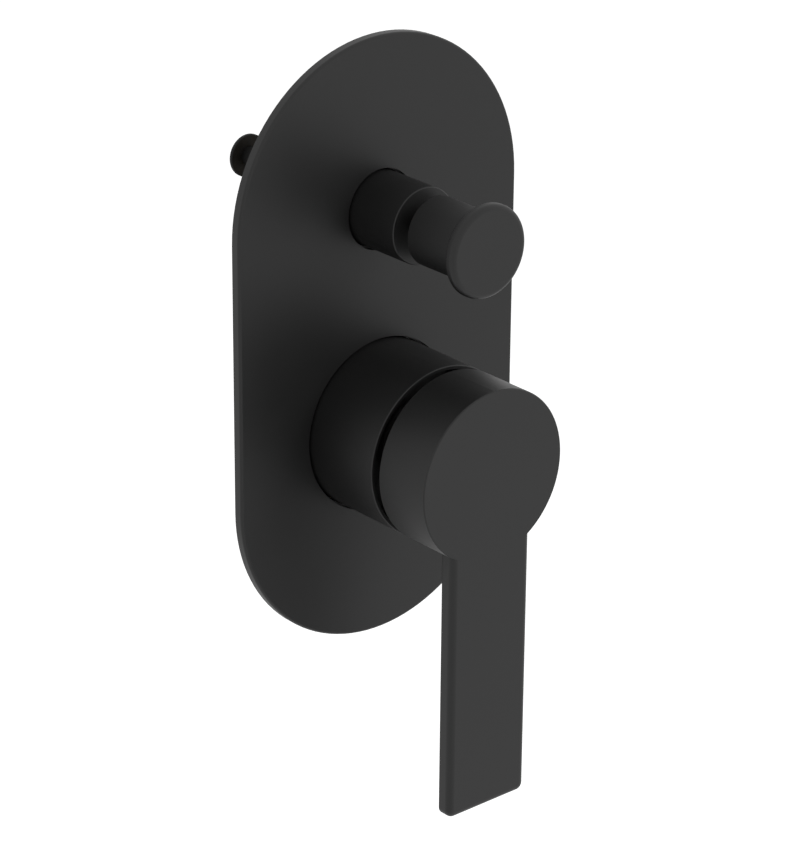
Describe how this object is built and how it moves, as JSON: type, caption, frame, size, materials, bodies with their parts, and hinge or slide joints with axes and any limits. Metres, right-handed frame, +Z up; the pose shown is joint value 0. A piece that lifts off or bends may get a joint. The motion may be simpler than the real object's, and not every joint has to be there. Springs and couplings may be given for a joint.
{
  "type": "concealed shower mixer",
  "caption": "Built-in shower mixer: matt black stadium plate, round lever handle with a flat bar, pull-out diverter knob, and the brass body behind the plate.",
  "frame": {"origin": "on the finished wall face, halfway between the lever's axis and the diverter's axis", "axes": "+X to the right seen from the front, +Y into the wall, +Z up; the front faces -Y"},
  "size_m": [0.1, 0.1085, 0.217],
  "materials": {
    "matt_black": "matt black coating on brass",
    "black_rod": "satin black coating on brass",
    "cast_brass": "sand-cast brass with machined faces",
    "turned_brass": "turned brass",
    "stainless_steel": "plain stainless steel",
    "black_plastic": "moulded black plastic",
    "cartridge_plastic": "moulded grey-white plastic",
    "ceramic": "lapped ceramic",
    "seal_rubber": "black rubber",
    "seal_foam": "closed-cell foam",
    "fibre": "red-brown fibre"
  },
  "bodies": {
    "mixer": {"wall_plate": "matt_black", "plate_seal": "seal_foam", "main_bush": "black_plastic", "main_bush_ring": "seal_rubber", "diverter_bush": "black_plastic", "diverter_bush_ring": "seal_rubber", "main_sleeve": "matt_black", "main_sleeve_ring_front": "seal_rubber", "main_sleeve_ring_rear": "seal_rubber", "valve_body": "cast_brass", "retaining_nut": "matt_black", "cartridge_housing": "black_plastic", "cartridge_base": "cartridge_plastic", "port_seals": "seal_rubber", "fixed_disc": "ceramic", "diverter_sleeve": "matt_black", "diverter_sleeve_ring": "seal_rubber", "diverter_bonnet": "turned_brass", "bonnet_washer": "fibre", "rod_seal": "seal_rubber", "rear_gland": "turned_brass", "gland_seal": "seal_rubber"},
    "temperature": {"stem_carrier": "black_plastic", "stem_pin": "stainless_steel"},
    "lever": {"lever_handle": "matt_black", "cartridge_stem": "turned_brass", "handle_grub_screw": "stainless_steel", "screw_plug": "black_plastic"},
    "carriage": {"disc_carriage": "cartridge_plastic", "moving_disc": "ceramic"},
    "diverter": {"diverter_knob": "matt_black", "knob_grub_screw": "stainless_steel", "diverter_rod": "black_rod", "diverter_spool": "turned_brass", "diverter_washer": "seal_rubber", "spool_clips": "stainless_steel", "rod_end_disc": "black_rod"}
  },
  "joints": [
    {"name": "temperature_turn", "type": "hinge", "parent": "mixer", "child": "temperature", "pos_m": [0, -0.0126, -0.0322], "axis": [0, -1, 0], "range_deg": [-45, 45]},
    {"name": "lever_lift", "type": "hinge", "parent": "temperature", "child": "lever", "pos_m": [0, -0.0126, -0.0322], "axis": [-1, 0, 0], "range_deg": [0, 20]},
    {"name": "disc_slide", "type": "slide", "parent": "temperature", "child": "carriage", "axis": [0, 0, -1], "range_m": [0, 0.0035]},
    {"name": "diverter_pull", "type": "slide", "parent": "mixer", "child": "diverter", "axis": [0, -1, 0], "range_m": [0, 0.0079]}
  ],
  "couplings": [
    {"joint": "disc_slide", "follows": "lever_lift", "m_per_rad": 0.0098}
  ]
}
